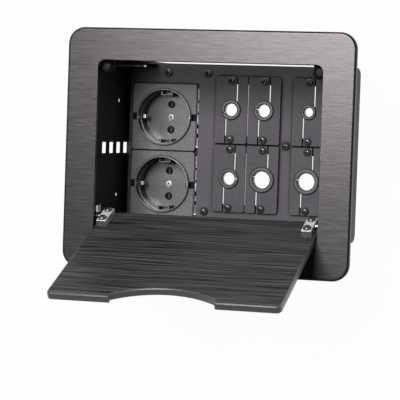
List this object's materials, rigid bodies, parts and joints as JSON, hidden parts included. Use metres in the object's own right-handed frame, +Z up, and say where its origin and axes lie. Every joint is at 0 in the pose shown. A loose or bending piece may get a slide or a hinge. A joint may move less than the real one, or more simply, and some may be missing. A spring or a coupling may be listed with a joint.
{
  "type": "table connection box",
  "caption": "Flush rectangular table box with a wide dark frame, a hinged lid with a curved hand cut-out, earthed sockets and split cable grommet plates in a deep well.",
  "frame": {"origin": "middle of the frame plate's underside, the plane that lies on the table top", "axes": "+Z up out of the table, +X along the lid's hinge, +Y from the hinge to the rear wall with the window"},
  "size_m": [0.21, 0.1867, 0.2013],
  "materials": {
    "frame_finish": "black anodised, brushed along X",
    "lid_finish": "black anodised, brushed along X",
    "housing_paint": "satin black powder coat",
    "panel_paint": "satin dark grey",
    "insert_paint": "satin dark grey",
    "zinc_plate": "bright zinc plate",
    "steel_bright": "bright",
    "washer_plastic": "dull red",
    "screw_black": "black oxide",
    "bumper_rubber": "soft black",
    "grommet_rubber": "soft black",
    "socket_plastic": "dark grey moulding",
    "base_plastic": "black moulding",
    "contact_brass": "plain",
    "earth_nickel": "nickel plated"
  },
  "bodies": {
    "box": {"bumper_left": "bumper_rubber", "bumper_right": "bumper_rubber", "clamp_left_stud": "zinc_plate", "clamp_right_stud": "zinc_plate", "frame_plate": "frame_finish", "front_wall": "housing_paint", "hinge_left_pin": "steel_bright", "hinge_left_plate": "housing_paint", "hinge_left_stop": "zinc_plate", "hinge_left_washer": "washer_plastic", "hinge_right_pin": "steel_bright", "hinge_right_plate": "housing_paint", "hinge_right_stop": "zinc_plate", "hinge_right_washer": "washer_plastic", "housing_screws": "screw_black", "insert_a1_grommet": "grommet_rubber", "insert_a1_left": "insert_paint", "insert_a1_right": "insert_paint", "insert_a2_grommet": "grommet_rubber", "insert_a2_left": "insert_paint", "insert_a2_right": "insert_paint", "insert_a3_grommet": "grommet_rubber", "insert_a3_left": "insert_paint", "insert_a3_right": "insert_paint", "insert_b1_grommet": "grommet_rubber", "insert_b1_left": "insert_paint", "insert_b1_right": "insert_paint", "insert_b2_grommet": "grommet_rubber", "insert_b2_left": "insert_paint", "insert_b2_right": "insert_paint", "insert_b3_grommet": "grommet_rubber", "insert_b3_left": "insert_paint", "insert_b3_right": "insert_paint", "insert_screws": "screw_black", "panel": "panel_paint", "panel_screws": "screw_black", "rear_wall": "housing_paint", "side_wall_left": "housing_paint", "side_wall_right": "housing_paint", "socket_carrier": "panel_paint", "socket_lower_base": "base_plastic", "socket_lower_contacts": "contact_brass", "socket_lower_earth": "earth_nickel", "socket_lower_front": "socket_plastic", "socket_lower_screw": "steel_bright", "socket_upper_base": "base_plastic", "socket_upper_contacts": "contact_brass", "socket_upper_earth": "earth_nickel", "socket_upper_front": "socket_plastic", "socket_upper_screw": "steel_bright"},
    "lid": {"lid": "lid_finish", "lid_screws": "screw_black", "hinge_left_bracket": "zinc_plate", "hinge_right_bracket": "zinc_plate"},
    "clamp_left_nut": {"clamp_left_nut": "zinc_plate"},
    "clamp_left_jaw": {"clamp_left_jaw": "zinc_plate"},
    "clamp_right_nut": {"clamp_right_nut": "zinc_plate"},
    "clamp_right_jaw": {"clamp_right_jaw": "zinc_plate"}
  },
  "joints": [
    {"name": "lid_hinge", "type": "hinge", "parent": "box", "child": "lid", "pos_m": [0, -0.04855, -0.00365], "axis": [1, 0, 0], "range_deg": [-114.2, 0]},
    {"name": "clamp_left_travel", "type": "slide", "parent": "box", "child": "clamp_left_nut", "axis": [0, 0, 1], "range_m": [-0.012, 0.008]},
    {"name": "clamp_left_swivel", "type": "hinge", "parent": "clamp_left_nut", "child": "clamp_left_jaw", "pos_m": [-0.0897, 0.022, -0.016], "axis": [0, 0, 1], "range_deg": [-90, 0]},
    {"name": "clamp_right_travel", "type": "slide", "parent": "box", "child": "clamp_right_nut", "axis": [0, 0, 1], "range_m": [-0.012, 0.008]},
    {"name": "clamp_right_swivel", "type": "hinge", "parent": "clamp_right_nut", "child": "clamp_right_jaw", "pos_m": [0.0897, 0.022, -0.016], "axis": [0, 0, 1], "range_deg": [0, 90]}
  ]
}
